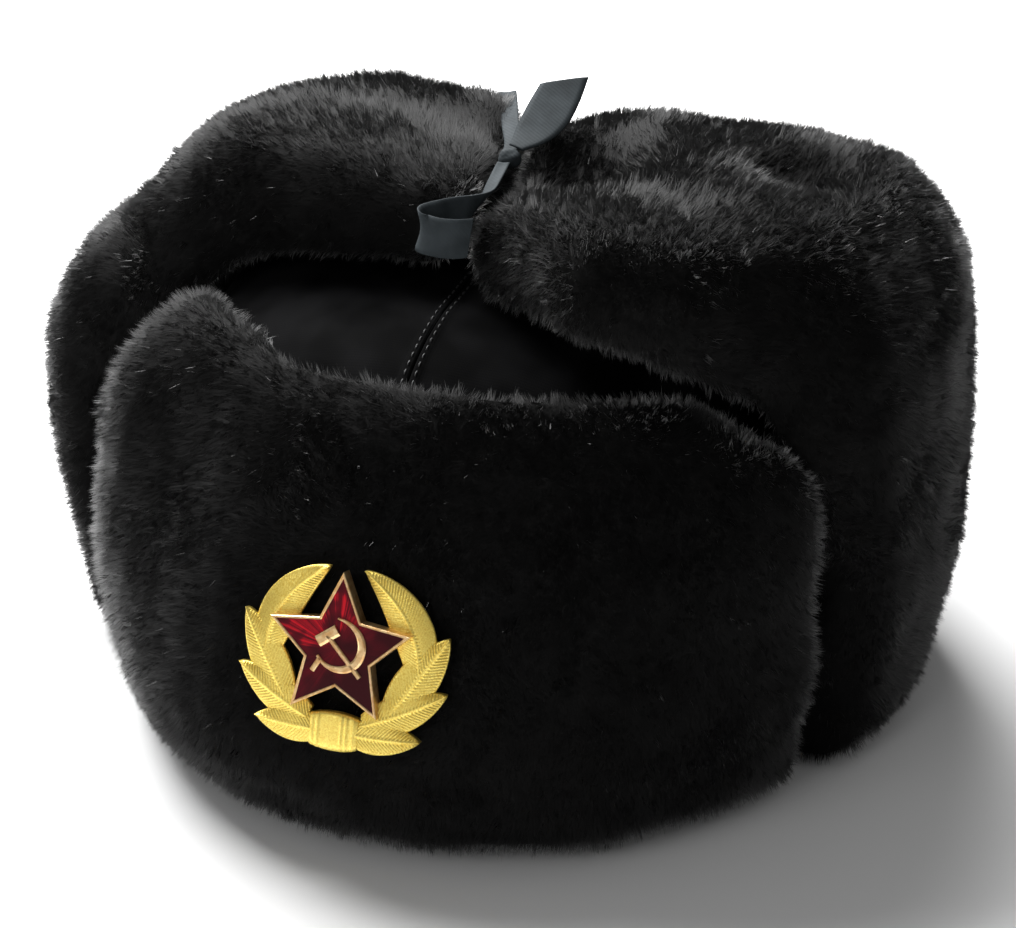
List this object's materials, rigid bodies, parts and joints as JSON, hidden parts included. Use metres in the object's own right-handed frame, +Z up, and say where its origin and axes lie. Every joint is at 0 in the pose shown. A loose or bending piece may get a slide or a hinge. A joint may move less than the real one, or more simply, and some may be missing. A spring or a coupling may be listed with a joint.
{
  "type": "ushanka fur hat",
  "caption": "Black fur winter hat with a cloth crown, fur front flap, ear flaps turned up and tied over the crown with tapes, and a gilt star badge with red enamel.",
  "frame": {"origin": "the point on the floor under the middle of the hat's box", "axes": "+Z up from the rim, -Y to the hat's front, +X to the wearer's left"},
  "size_m": [0.2671, 0.2685, 0.1727],
  "materials": {
    "cloth": "smooth dark woven cloth",
    "fur": "short dense plush fur pile",
    "gilt": "bright gilt, matte on the leaves",
    "enamel": "glossy translucent enamel",
    "steel": "plain",
    "ribbon": "ribbed tape with a slight sheen"
  },
  "bodies": {
    "root": {"crown_panel_right": "cloth", "crown_panel_left": "cloth", "front_flap": "fur", "ear_flap_left": "fur", "ear_flap_right": "fur", "neck_flap": "fur", "badge_plate": "gilt", "badge_enamel": "enamel", "badge_post": "steel", "tie_bow": "ribbon", "tie_strand": "ribbon", "tie_knot": "ribbon", "tie_tail": "ribbon"}
  },
  "joints": []
}
